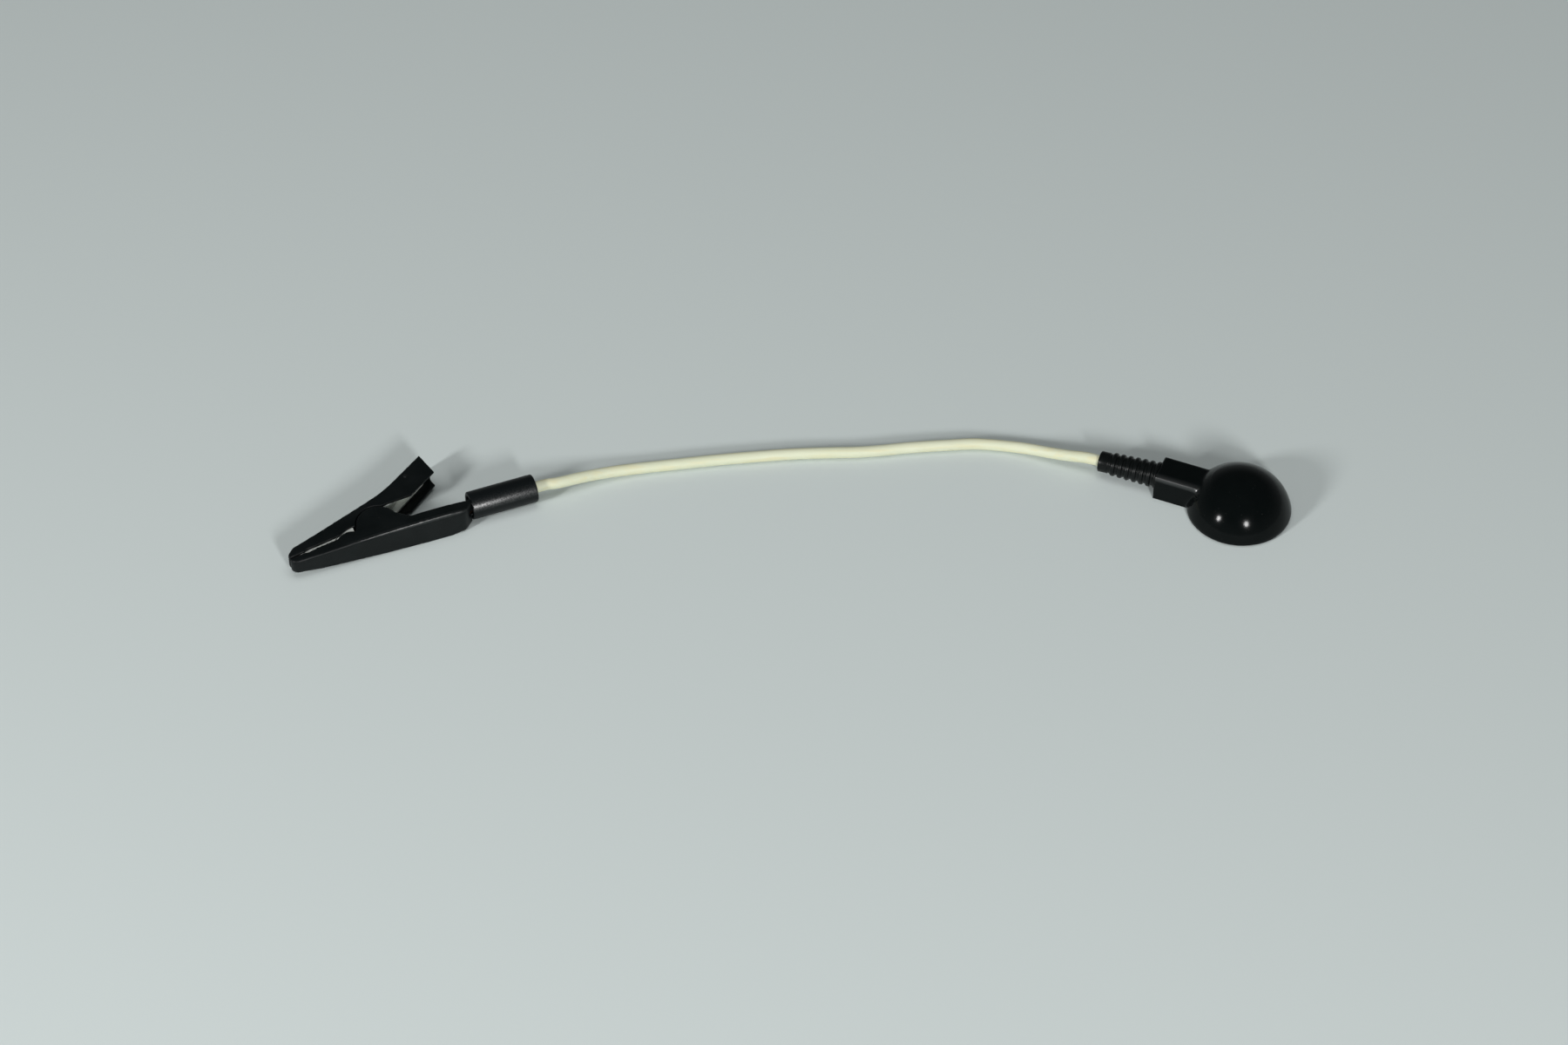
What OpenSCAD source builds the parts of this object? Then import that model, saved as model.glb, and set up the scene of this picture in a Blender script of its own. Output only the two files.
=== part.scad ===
// Short grounding lead: a sprung crocodile clip in a plastic shell, a free wire,
// and a domed press-stud connector with a series resistor inside.
// The clip lies on its side, so its hinge axis is vertical. Z = 0 is the table.

/* [Layout on the table] */
// Hinge axis of the clip, along X
clip_x = -77.9; // [-80:0.1:-75]
// Hinge axis of the clip, along Y
clip_y = -5.7; // [-8:0.1:-3]
// Direction of the clip's tail from +X
clip_angle = 22.2; // [15:0.1:30]
// Axis of the press stud socket, along X
snap_x = 83.7; // [80:0.1:90]
// Axis of the press stud socket, along Y
snap_y = 2.8; // [0:0.1:6]
// Direction of the connector's neck from +X
snap_angle = 156.6; // [145:0.1:165]

/* [Clip shell] */
// Hinge axis to the end of the nose
nose_l = 17.8; // [16:0.1:20]
// Hinge axis to the end of the tail
tail_l = 17.9; // [16:0.1:20]
// Width of the clip at its widest, across the hinge axis
clip_w = 5.8; // [5.6:0.1:7]
// Width at the hinge axis
hinge_w = 5.3; // [5.2:0.1:5.5]
// Width of the nose
nose_w = 3.2; // [3:0.1:3.6]
// Width of the tail end
tail_w = 5.3; // [4.8:0.1:5.6]
// Hinge axis to the spine of the lower jaw
spine_drop = 3.7; // [3.5:0.1:4.2]
// Height of the tail walls above the spine
tail_h = 2.6; // [2.2:0.1:2.8]
// Radius of the ears round the hinge pin
ear_r = 3.9; // [3.6:0.1:4.2]
// Wall of the moulded shells
wall = 0.8; // [0.7:0.05:1]
// Solid length of the nose, in front of the contact jaws
nose_wall = 1.6; // [1.2:0.1:2]
// Radius that rounds the nose
nose_r = 1.4; // [0.8:0.1:1.5]
// Angle of the closed mouth below the clip's length
mouth_angle = 6.6; // [5:0.1:8]
// Length of the closed plastic lips at the nose
lip_l = 3.3; // [3:0.1:4]
// Opening between the shells along the teeth
mouth_gap = 0.7; // [0.5:0.05:0.9]
// Radius of the round recess behind the teeth, in the lever
recess_r = 4.45; // [4.3:0.05:4.5]
// Centre of the recess in front of the ears' rim
recess_x = 0.7; // [0.5:0.05:0.9]
// Centre of the recess below the hinge axis
recess_drop = 3.85; // [3.8:0.05:3.95]
// Radius of the lower jaw's shoulder below the recess
shoulder_r = 2.6; // [2.4:0.05:2.7]
// Centre of the shoulder in front of the ears' rim
shoulder_x = 2.1; // [1.9:0.05:2.3]
// Centre of the shoulder below the hinge axis
shoulder_drop = 2.9; // [2.8:0.05:3]
// Reach of the ears' foot in front of their rim, down to the shoulder
ear_foot = 0.7; // [0.4:0.05:0.8]

/* [Lever] */
// Height of the lever at the nose, above the mouth
lever_nose_h = 2.5; // [2.2:0.1:2.6]
// Brow of the lever, where its nose meets its back, in front of the hinge axis
brow_x = 11.9; // [11:0.1:13]
// Brow of the lever, above the hinge axis
brow_h = 1.6; // [1.4:0.1:1.9]
// Knee of the lever, behind the hinge axis
knee_x = 2.9; // [2.5:0.1:3.3]
// Knee of the lever, above the hinge axis
knee_h = 6.7; // [6.5:0.1:7.2]
// Reach of the soft bend at the knee, to each side
knee_reach = 3.5; // [2:0.1:4]
// Handle's angle to the clip's length
handle_angle = 37.4; // [36:0.1:39]
// Length of the handle behind the knee
handle_l = 12.6; // [11:0.1:13.5]
// Width of the handle at its end
handle_w = 4; // [3.8:0.1:4.6]
// Depth of the handle's side flanges
flange_d = 4.9; // [4.6:0.1:5.2]
// Start of the full flange behind the knee, along the handle
flange_start = 2.7; // [2.3:0.1:3.2]
// Slant of the handle's end, measured along the handle
end_rake = 2.1; // [1.8:0.1:3]
// Wall of the handle's side flanges
flange_wall = 0.6; // [0.5:0.05:0.7]
// Width between the lever's lugs
lever_gap = 2.6; // [2.5:0.05:2.7]
// Diameter of the moulded pip on the flange
pip_d = 0.7; // [0.4:0.1:1]
// Depth of the steel lining's side flanges, below the inside of the lever's back
lining_d = 2.1; // [1.8:0.1:2.6]
// Length of the lining in the handle, behind the knee
lining_l = 9.5; // [8:0.1:10]
// Wall that closes the end of the handle
end_wall = 1; // [0.8:0.1:1.2]

/* [Contact jaws] */
// Thickness of the plated steel strip
strip_t = 0.35; // [0.25:0.05:0.4]
// Distance from tooth to tooth
tooth_pitch = 0.95; // [0.8:0.05:1.1]
// Height of a tooth
tooth_h = 0.5; // [0.3:0.05:0.6]
// Teeth on each edge of the lower jaw
teeth = 6; // [4:1:6]
// Width of the lower strip's tongue under the spring
tongue_w = 2.4; // [2:0.1:2.6]
// Length of the crimp barrel
crimp_l = 4; // [3:0.1:4.5]
// Wall of the crimp barrel
crimp_wall = 0.25; // [0.2:0.05:0.3]

/* [Hinge and spring] */
// Diameter of the hinge pin
pin_d = 1.5; // [1.3:0.1:1.6]
// Plastic skin left over each end of the pin
pin_skin = 0.3; // [0.2:0.05:0.35]
// Running clearance of the lever on the pin, on the radius
pin_clear = 0.05; // [0.03:0.01:0.08]
// Gap between each lever lug and the ear beside it
lug_clear = 0.1; // [0.06:0.01:0.12]
// Thickness of a lever lug
lug_t = 0.55; // [0.5:0.01:0.56]
// Radius of the lug round the pin
lug_r = 2.3; // [2:0.1:2.4]
// Gap between the ears' rim and the lever's walls
ear_clear = 0.2; // [0.15:0.05:0.3]
// Diameter of the spring wire
spring_wire = 0.45; // [0.4:0.01:0.45]
// Mean radius of the spring's turns
spring_r = 1.5; // [1.3:0.05:1.6]
// Distance from turn to turn
spring_pitch = 0.86; // [0.85:0.005:0.87]
// Full turns of the spring, before the part turn between its legs
spring_full_turns = 2; // [1:1:2]
// Length of the spring's leg in the handle
upper_leg_l = 8.6; // [7:0.1:9]
// Length of the spring's leg in the tail
lower_leg_l = 6.5; // [5:0.1:7]

/* [Sleeve and wire] */
// Diameter of the sleeve over the clip's tail
sleeve_d = 5.4; // [5.2:0.1:5.6]
// Length of the sleeve
sleeve_l = 13; // [11:0.1:15]
// Wall of the sleeve
sleeve_wall = 0.7; // [0.5:0.05:0.8]
// Solid end of the sleeve that the wire passes through
sleeve_end_l = 1.5; // [1:0.1:2.5]
// Chamfer on the sleeve's ends
sleeve_chamfer = 0.3; // [0.1:0.05:0.4]
// Sleeve's axis below the hinge axis
sleeve_drop = 0.2; // [0:0.05:0.4]
// Length of the tail's trough inside the sleeve
trough_l = 8; // [6:0.1:9]
// Diameter of the insulated wire
wire_d = 2.2; // [2:0.05:2.3]
// Diameter of the bare conductor
core_d = 0.8; // [0.7:0.05:0.9]
// Bare conductor between the clip's tail and the insulation
bare_l = 2.4; // [2:0.1:3.5]

/* [Strain relief] */
// Length outside the neck
relief_l = 11.8; // [10:0.1:13]
// Diameter at the neck
relief_root_d = 5.2; // [4.8:0.1:5.4]
// Diameter at the wire
relief_tip_d = 4.3; // [4:0.1:4.6]
// Number of ribs
ribs = 7; // [5:1:8]
// Depth of the grooves between ribs
groove_depth = 0.4; // [0.2:0.05:0.5]
// Width of a groove
groove_w = 0.65; // [0.4:0.05:0.75]
// Length of the collar at the wire end
collar_l = 1.9; // [1.2:0.1:2.2]
// Diameter of the collar
collar_d = 4; // [3.6:0.1:4.2]
// Sideways lean of the relief from the neck
relief_lean = 3.4; // [0:0.1:5]
// Length of the anchor inside the neck
anchor_l = 1.8; // [1.2:0.1:2.4]
// Diameter of the anchor
anchor_d = 3.8; // [3.4:0.1:4.2]
// Height of the wire's axis in the neck
neck_axis_h = 2.8; // [2.75:0.05:3]

/* [Press stud connector] */
// Diameter of the button
button_d = 19.8; // [19:0.1:21]
// Height of the button
button_h = 8.7; // [8.5:0.1:9.4]
// Height of the straight rim below the dome
rim_h = 0.9; // [0.7:0.1:1.2]
// Wall of the button
button_wall = 1.2; // [1:0.05:1.3]
// Chamfer under the rim
rim_chamfer = 0.3; // [0.1:0.05:0.5]
// Button's axis to the face of the neck
neck_l = 16; // [15:0.1:17]
// Width of the neck at the table
neck_foot_w = 7; // [6.6:0.1:7.6]
// Width of the neck at its top edges
neck_top_w = 6.4; // [6:0.1:6.6]
// Height of the neck
neck_h = 5.5; // [5.4:0.1:5.9]
// Chamfer along the neck's top edges
neck_chamfer = 0.6; // [0.3:0.05:0.8]

/* [Socket] */
// Diameter of the socket for the press stud
socket_d = 10.2; // [9.9:0.1:10.4]
// Depth of the socket
socket_depth = 3.3; // [3:0.1:3.4]
// Thickness of the socket's sheet metal
socket_t = 0.4; // [0.3:0.05:0.45]
// Diameter of the socket's flange
socket_flange_d = 13.6; // [13:0.1:14.4]
// Flange's face above the table
socket_lift = 0.4; // [0.3:0.05:0.5]
// Wire diameter of the ring spring
ring_wire = 0.6; // [0.5:0.05:0.65]
// How far the ring spring stands into the socket
ring_reach = 0.15; // [0.1:0.01:0.2]
// Gap in the ring spring, in degrees
ring_split = 30; // [20:1:50]
// Thickness of the base cover
cover_t = 1.2; // [1:0.1:1.5]
// Diameter of the rivet's shank
rivet_d = 1.6; // [1.4:0.1:1.8]
// Diameter of the rivet's heads
rivet_head_d = 2.8; // [2.5:0.1:3.2]
// Thickness of the rivet's heads
rivet_head_t = 0.3; // [0.2:0.05:0.35]
// Diameter of the solder tag
tag_d = 4.4; // [4:0.1:4.8]
// Thickness of the solder tag
tag_t = 0.3; // [0.2:0.05:0.35]
// Width of the solder tag's tongue
tag_w = 1.8; // [1.6:0.1:2.2]

/* [Resistor] */
// Diameter of the resistor
resistor_d = 1.8; // [1.6:0.1:1.9]
// Length of the resistor
resistor_l = 4; // [3.4:0.1:4.2]
// Diameter of the resistor's leads
lead_d = 0.5; // [0.45:0.05:0.55]
// Reach of the bent lead to the solder tag from the button's axis
lead_reach = 3.6; // [3.4:0.1:3.8]
// Diameter of the solder joints
solder_d = 1.7; // [1.6:0.1:1.8]

/* [Hidden] */
$fn = 64;
eps = 0.01;
// How far a cutter runs on past what it cuts
over = 1;

black = [0.04, 0.05, 0.05];
steel = [0.72, 0.72, 0.70];
copper = [0.80, 0.45, 0.25];
cream = [0.88, 0.90, 0.76];

// Clip: lengths along its own X, heights along its own Y, widths along Z
ear_gap = 2 * (lever_gap / 2 + lug_t + lug_clear);
widest_from = 0.45 * tail_l;
widest_to = 0.75 * tail_l;
outer_halves = [[-nose_l, nose_w / 2], [0, hinge_w / 2], [widest_from, clip_w / 2],
                [widest_to, clip_w / 2], [tail_l, tail_w / 2]];
// The contact strips fill the nose between its side walls and stop short of the ears
nose_side = 0.8 * wall;
strip_stop = 0.5;
strip_front = -nose_l + nose_wall;
strip_nose_half = nose_w / 2 - nose_side;
strip_back = -ear_r - ear_clear - strip_stop;
front_halves = [[strip_front, strip_nose_half], [strip_back, ear_gap / 2 - lug_clear / 2]];
recess_at = [-ear_r - recess_x, -recess_drop];
shoulder_at = [-ear_r - shoulder_x, -shoulder_drop];
// Behind the ears the outline falls from their heel to the tail's walls, in front it runs down their foot
ear_heel = ear_r * [0.95, 0.25];
tail_start = 1.6 * ear_r;
foot_top = [-ear_r - 0.2 * ear_foot, 0.4 * ear_foot];
foot_end = [-ear_r - ear_foot, -shoulder_drop + 0.65 * shoulder_r];
// Foot of the handle's flange on the ears' rim
flange_front = ear_r * [0.4, 0.92];
tail_top = -spine_drop + tail_h;
floor_h = -spine_drop + wall;
lip_gap = 0.12;
cheek_lap = 0.25;
// The teeth of both strips stand back from the mouth line, and each is rooted in its strip
tooth_set = 0.06;
tooth_root = 0.02;
handle_dir = [cos(handle_angle), sin(handle_angle)];
handle_in = [sin(handle_angle), -cos(handle_angle)];
knee = [knee_x, knee_h];
brow = [-brow_x, brow_h];
nose_dir = unit(knee - brow);
knee_bend = [for (t = [0:0.25:1]) knee + knee_reach * (pow(t, 2) * handle_dir - pow(1 - t, 2) * nose_dir)];
handle_top = knee + handle_l * handle_dir;
handle_foot = handle_top - end_rake * handle_dir + flange_d * handle_in;
flange_back = knee + flange_start * handle_dir + flange_d * handle_in;
nose_foot_h = -nose_l * tan(mouth_angle);
nose_top_h = nose_foot_h + lever_nose_h;
hollow_front_h = nose_top_h + (brow_h - nose_top_h) * (nose_wall - nose_r) / (nose_l - nose_r - brow_x);
// The lever keeps the hinge's width up to here, then narrows to the handle's end
hinge_w_end = 0.35 * handle_top.x;
handle_end = handle_foot.x + 0.5;
lever_halves = [[-nose_l, nose_w / 2], [0, hinge_w / 2], [hinge_w_end, hinge_w / 2],
                [handle_end, handle_w / 2]];
// Pip on the handle's flange, below the lever's back and a little sunk into the face
pip_drop = 1.2;
pip_sink = 0.1;
pip_at = (knee + handle_top) / 2 + pip_drop * handle_in;
pip_z = handle_w / 2 - pip_sink
    + (hinge_w - handle_w) / 2 * (handle_end - pip_at.x) / (handle_end - hinge_w_end);
// Step from the lever's back into its hollow, between the slopes of nose and handle
slope = (atan2(knee_h - brow_h, knee_x + brow_x) + handle_angle) / 2;
into_lever = [sin(slope), -cos(slope)];
shell_shift = wall * into_lever;
strip_shift = strip_t * into_lever;

// Crimp barrel in the clip's tail, and the conductor from its stub before the barrel to the insulation
crimp_back = 4.4;
crimp_r = core_d / 2 + crimp_wall;
crimp_h = floor_h + strip_t + crimp_r;
crimp_x = tail_l - crimp_back - crimp_l;
stub_x = tail_l + bare_l;
sleeve_x1 = tail_l + sleeve_l;
crimp_stub = 0.4;
crimp_bend = 0.2;
tail_rise = 0.1;
bare_dip = 0.35;
stub_bend = 0.3;
// The trough is rooted in the tail, and its rim lies below the sleeve's axis
trough_root = 0.4;
trough_rim = 0.1;

// Torsion spring: each leg leaves the coil on a tangent and its end bears on a flat face
function leg_angle(face, l) = atan2(l, spring_r) - acos((face - spring_wire / 2) / norm([spring_r, l]));
lining_face = -(knee + shell_shift + strip_shift) * handle_in;
tongue_face = -floor_h - strip_t;
upper_leg_angle = handle_angle + leg_angle(lining_face, upper_leg_l);
lower_leg_angle = -leg_angle(tongue_face, lower_leg_l);
spring_turn = 180 - upper_leg_angle + lower_leg_angle + 360 * spring_full_turns;
spring_rise = spring_pitch * spring_turn / 360;
steps_a_turn = 12;
part_turn_steps = 5;
spring_steps = steps_a_turn * spring_full_turns + part_turn_steps;
leg_draw_in = 0.8;

// Connector
button_r = button_d / 2;
dome_rise = button_h - rim_h;
dome_r = (pow(button_r, 2) + pow(dome_rise, 2)) / (2 * dome_rise);
dome_z = button_h - dome_r;
cavity_r = button_r - button_wall;
socket_r = socket_d / 2;
socket_top = socket_lift + socket_depth;
// Bead of the socket: its height above the flange, and the room round the ring spring and the rivet's head
bead_lift = 0.8;
ring_play = 0.1;
rivet_play = 0.1;
bead_z = socket_lift + bead_lift;
bead_h = ring_wire + ring_play;
bead_r = socket_r - ring_reach + ring_wire;
rivet_seat_r = rivet_head_d / 2 + rivet_play;
tag_z = socket_top + rivet_head_t + socket_t;
// The resistor lies just over the rivet. The solder joint rests on the bead, a little above the wire's axis
resistor_lift = 0.2;
joint_lap = 0.2;
joint_rise = 0.2;
resistor_z = tag_z + tag_t + rivet_head_t + resistor_lift + resistor_d / 2;
joint_x = bead_r + socket_t + solder_d / 2 - joint_lap;
// One lead runs straight, then down in two steps before the joint. The other turns down at the tag
lead_run = 1.3;
first_step = [1.5, 0.8];
second_step = [0.4, 1.8];
lead_foot_x = joint_x - second_step.x;
tag_bend = 0.6;
// Insulated wire inside the neck, and the straight bare conductor in front of it
stub_in = 3.2;
bare_in = 0.6;

// Strain relief, from the neck's face outwards
rib_pitch = (relief_l - collar_l) / ribs;

// Points of the lead wire on the table, from the clip to the connector
lead_route = [
    [-45, 7.3, 2.7], [-41.4, 8.9, 2.3], [-37, 10.8, 1.7], [-32, 12.3, 1.3],
    [-27, 13.3, 1.1], [-22, 14.1, 1.1], [-15.4, 15.1, 1.1], [-7.4, 16.1, 1.1],
    [-0.4, 16.8, 1.1], [7.4, 17.2, 1.1], [11.2, 17.3, 1.1], [14.9, 17.6, 1.1],
    [22.2, 18.6, 1.1], [29.8, 19.3, 1.1], [34.3, 19.6, 1.1], [37.3, 19.4, 1.1],
    [40.9, 18.9, 1.1], [44.6, 18, 1.35], [48.7, 16.5, 1.75], [51.9, 15.3, 2.2]];

// ---- Frames ----

function turned(p, angle) = [p.x * cos(angle) - p.y * sin(angle),
                             p.x * sin(angle) + p.y * cos(angle), p.z];
function clip_point(p) = turned(p, clip_angle) + [clip_x, clip_y, clip_w / 2];
function relief_point(p) =
    turned(turned(p, relief_lean) + [neck_l, 0, neck_axis_h], snap_angle)
    + [snap_x, snap_y, 0];

module place_clip() {
    translate([clip_x, clip_y, clip_w / 2]) rotate(clip_angle) children();
}

module place_snap() {
    translate([snap_x, snap_y, 0]) rotate(snap_angle) children();
}

// Axis of the wire in the neck: X runs outwards from the neck's face
module place_relief() {
    translate([neck_l, 0, neck_axis_h]) rotate(relief_lean) children();
}

// Axis of the sleeve: X runs along the clip's tail
module place_sleeve(x) {
    translate([x, -sleeve_drop, 0]) rotate([0, 90, 0]) children();
}

// ---- Shapes that repeat ----

function unit(v) = v / norm(v);
function along(path, i) =
    i == 0 ? unit(path[1] - path[0])
    : i == len(path) - 1 ? unit(path[i] - path[i - 1])
    : unit(unit(path[i] - path[i - 1]) + unit(path[i + 1] - path[i]));

// Side vector of each ring, carried along the path without twist
function sides_along(path, i, side) =
    i == len(path) ? []
    : let (t = along(path, i), s = unit(side - (side * t) * t))
      concat([s], sides_along(path, i + 1, s));

// Round tube swept along a path, with flat ends
module tube(path, d, sides) {
    last = (len(path) - 1) * sides;
    ring_sides = sides_along(path, 0, [0, 0, 1]);
    points = [for (i = [0:len(path) - 1])
        let (t = along(path, i), s = ring_sides[i], q = cross(t, s))
        for (k = [0:sides - 1])
            path[i] + d / 2 * (cos(360 * k / sides) * s + sin(360 * k / sides) * q)];
    walls = [for (i = [0:sides:last - 1], k = [0:sides - 1])
        let (a = i + k, b = i + (k + 1) % sides)
        each [[a, b + sides, b], [a, a + sides, b + sides]]];
    first_cap = [for (k = [1:sides - 2]) [0, k, k + 1]];
    last_cap = [for (k = [1:sides - 2]) [last, last + k + 1, last + k]];
    polyhedron(points, concat(walls, first_cap, last_cap));
}

// Straight round rod from one point to another
module rod(a, b, d) {
    run = b - a;
    translate(a) rotate([0, acos(run.z / norm(run)), atan2(run.y, run.x)])
        cylinder(d = d, h = norm(run));
}

// Solid between two heights whose half width follows the clip's length
module between(halves, low, high) {
    translate([0, high, 0]) rotate([90, 0, 0]) linear_extrude(high - low)
        polygon(concat(halves, [for (i = [len(halves) - 1:-1:0]) [halves[i].x, -halves[i].y]]));
}

// Side outline as a slab centred on the clip's middle plane
module slab(thickness) {
    translate([0, 0, -thickness / 2]) linear_extrude(thickness) children();
}

// Corner to cut away so that a square corner becomes a round one
module corner(r) {
    difference() {
        translate([-eps, -eps]) square(r + eps);
        translate([r, r]) circle(r);
    }
}

function narrower(halves, by) = [for (h = halves) [h.x, h.y - by]];

// ---- Clip outlines, seen along the hinge axis ----

// Everything above the mouth line, with an edge set back from it
module above_mouth(edge) {
    rotate(mouth_angle) translate([-2 * nose_l, edge]) square([2 * nose_l, nose_l]);
}

module below_mouth(edge) {
    rotate(mouth_angle) translate([-2 * nose_l, -nose_l - edge]) square([2 * nose_l, nose_l]);
}

module behind_lips() {
    translate([-nose_l + lip_l, -nose_l]) square([nose_l * 2, nose_l * 2]);
}

module lower_outline() {
    difference() {
        union() {
            difference() {
                polygon([[-nose_l, -spine_drop], [tail_l, -spine_drop], [tail_l, tail_top],
                         [tail_start, tail_top], ear_heel, [0, 0], [-nose_l, 0]]);
                above_mouth(-lip_gap / 2);
                intersection() {
                    above_mouth(-mouth_gap / 2);
                    behind_lips();
                }
            }
            circle(ear_r);
            polygon([[0, 0], foot_top, foot_end, [0, -spine_drop]]);
            intersection() {
                translate(shoulder_at) circle(shoulder_r);
                translate([shoulder_at.x - shoulder_r, -spine_drop]) square(shoulder_r * 2);
            }
        }
        translate([-nose_l, -spine_drop]) corner(nose_r);
        translate([tail_l, -spine_drop]) rotate(45) square(tail_h, center = true);
    }
}

module lever_outline() {
    difference() {
        polygon([[0, 0], [-nose_l, nose_foot_h], [-nose_l, nose_top_h - nose_r], [-nose_l + nose_r, nose_top_h],
                 brow, each knee_bend, handle_top, handle_foot, flange_back, flange_front]);
        below_mouth(-lip_gap / 2);
        intersection() {
            below_mouth(-mouth_gap / 2);
            behind_lips();
        }
        translate(recess_at) circle(recess_r);
    }
}

// Inside of the lever, open downwards
module lever_hollow(shift) {
    translate(shift) polygon([[strip_front, -nose_l], [strip_front, hollow_front_h], brow, each knee_bend,
        handle_top - end_wall * handle_dir,
        handle_foot - end_wall * handle_dir + 2 * flange_d * handle_in]);
}

// ---- Clip, lower half ----

module lower_jaw_shell() {
    color(black) place_clip() difference() {
        union() {
            intersection() {
                slab(clip_w) lower_outline();
                between(outer_halves, -spine_drop, ear_r);
            }
            // Trough that carries the wire inside the sleeve
            intersection() {
                place_sleeve(tail_l - trough_root)
                    cylinder(d = sleeve_d - 2 * sleeve_wall, h = trough_l + trough_root);
                translate([tail_l - over, -sleeve_drop - sleeve_d, -sleeve_d / 2])
                    cube([trough_l + 2 * over, sleeve_d - trough_rim, sleeve_d]);
            }
        }
        between(front_halves, floor_h, ear_r);
        // Space between the ears, and on to the tail's end wall
        translate([strip_back, floor_h, -ear_gap / 2])
            cube([tail_l - 2 * wall - strip_back, ear_r * 2, ear_gap]);
        cylinder(d = pin_d, h = hinge_w - 2 * pin_skin, center = true);
        // Bed of the insulated wire, and slot for the bare conductor in front of it
        place_sleeve(stub_x) cylinder(d = wire_d, h = sleeve_l);
        translate([tail_l - 2 * wall - eps, crimp_h - core_d / 2, -core_d / 2])
            cube([2 * wall + bare_l + 2 * eps, sleeve_d, core_d]);
    }
}

module lower_contact_jaw() {
    color(steel) place_clip() {
        difference() {
            intersection() {
                between(front_halves, floor_h, ear_r);
                slab(clip_w) strip_edge_lower();
            }
            between(narrower(front_halves, strip_t), floor_h + strip_t, ear_r + over);
        }
        // Tongue under the spring, and the crimp barrel at its end
        translate([strip_back - eps, floor_h, -tongue_w / 2])
            cube([crimp_x + crimp_l - strip_back, strip_t, tongue_w]);
        difference() {
            union() {
                translate([crimp_x, crimp_h, 0]) rotate([0, 90, 0]) cylinder(r = crimp_r, h = crimp_l);
                translate([crimp_x, floor_h + strip_t / 2, -core_d / 2])
                    cube([crimp_l, crimp_r, core_d]);
            }
            translate([crimp_x - over, crimp_h, 0]) rotate([0, 90, 0])
                cylinder(d = core_d, h = crimp_l + 2 * over);
        }
    }
}

// Row of teeth along the mouth line, pointing up, its first tooth moved by a step
module tooth_row(count, step) {
    for (i = [0:count - 1])
        translate([-nose_l + lip_l + (i + step) * tooth_pitch, 0])
            polygon([[0, -tooth_h / 2], [tooth_pitch, -tooth_h / 2], [tooth_pitch / 2, tooth_h / 2]]);
}

module strip_edge_lower() {
    difference() {
        union() {
            rotate(mouth_angle) {
                translate([-nose_l - over, -nose_l])
                    square([nose_l, nose_l - tooth_h / 2 - tooth_set + tooth_root]);
                translate([0, -tooth_set]) tooth_row(teeth, 0);
            }
            // Cheek that fills the lever's recess from inside
            intersection() {
                translate(recess_at) circle(recess_r + cheek_lap);
                translate([strip_front, -spine_drop]) square([strip_back - strip_front, nose_l]);
            }
        }
        translate([strip_back, -nose_l]) square(2 * nose_l);
    }
}

module hinge_pin() {
    color(steel) place_clip() cylinder(d = pin_d, h = hinge_w - 2 * pin_skin, center = true);
}

// Coil between two tangent legs, wound round the hinge pin
coil = [for (i = [0:spring_steps])
    let (a = lower_leg_angle - 90 - spring_turn * i / spring_steps)
    [spring_r * cos(a), spring_r * sin(a), -spring_rise / 2 + spring_rise * i / spring_steps]];
lower_leg = [for (s = [1, 0.5])
    coil[0] + lower_leg_l * s * [cos(lower_leg_angle), sin(lower_leg_angle), leg_draw_in / lower_leg_l]];
upper_leg = [for (s = [0.35, 1])
    coil[spring_steps]
    + upper_leg_l * s * [cos(upper_leg_angle), sin(upper_leg_angle), -leg_draw_in / upper_leg_l]];

module torsion_spring() {
    color(steel) place_clip() tube(concat(lower_leg, coil, upper_leg), spring_wire, 6);
}

// ---- Clip, lever ----

module upper_jaw_shell() {
    color(black) place_clip() difference() {
        union() {
            intersection() {
                union() {
                    difference() {
                        slab(clip_w) lever_outline();
                        slab(clip_w + over) circle(ear_r + ear_clear);
                    }
                    // Lugs reach in between the ears to the pin
                    slab(ear_gap - 2 * lug_clear) {
                        circle(lug_r);
                        intersection() {
                            lever_outline();
                            circle(ear_r + over);
                        }
                        polygon([[-lug_r, 0], [lug_r, 0], [lug_r, ear_r], [-lug_r, ear_r]]);
                    }
                }
                between(lever_halves, -spine_drop, handle_top.y);
            }
            translate([pip_at.x, pip_at.y, pip_z]) sphere(d = pip_d);
        }
        // Channel along the underside, wider behind the lugs, with the end of the handle closed
        slab(lever_gap) difference() {
            lever_hollow(shell_shift);
            translate([-nose_l, -nose_l]) square([nose_l + strip_back, 3 * nose_l]);
        }
        intersection() {
            slab(clip_w) lever_hollow(shell_shift);
            in_handle(flange_wall);
        }
        intersection() {
            slab(clip_w) lever_hollow(shell_shift);
            between(front_halves, -spine_drop, handle_top.y);
        }
        cylinder(d = pin_d + 2 * pin_clear, h = clip_w, center = true);
    }
}

module upper_contact_jaw() {
    color(steel) place_clip() {
        // Toothed channel in the nose
        intersection() {
            difference() {
                intersection() {
                    between(front_halves, -spine_drop, handle_top.y);
                    slab(clip_w) lever_hollow(shell_shift);
                }
                intersection() {
                    between(narrower(front_halves, strip_t), -spine_drop, handle_top.y);
                    slab(clip_w) lever_hollow(shell_shift + strip_shift);
                }
            }
            slab(clip_w) strip_edge_upper();
        }
        // Lining that runs on under the lever's back into the handle
        slab(lever_gap) lining_back();
        intersection() {
            slab(clip_w) lining_back();
            in_handle(flange_wall);
        }
        // Side flanges of the lining, beside the spring's leg
        difference() {
            intersection() {
                slab(clip_w) lining_flange();
                in_handle(flange_wall);
            }
            in_handle(flange_wall + strip_t);
        }
    }
}

// Inside of the handle behind the lugs, between its two flanges
module in_handle(side) {
    intersection() {
        between(narrower(lever_halves, side), 0, handle_top.y);
        translate([lug_r, 0, -clip_w / 2]) cube([nose_l, nose_l, clip_w]);
    }
}

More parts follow.
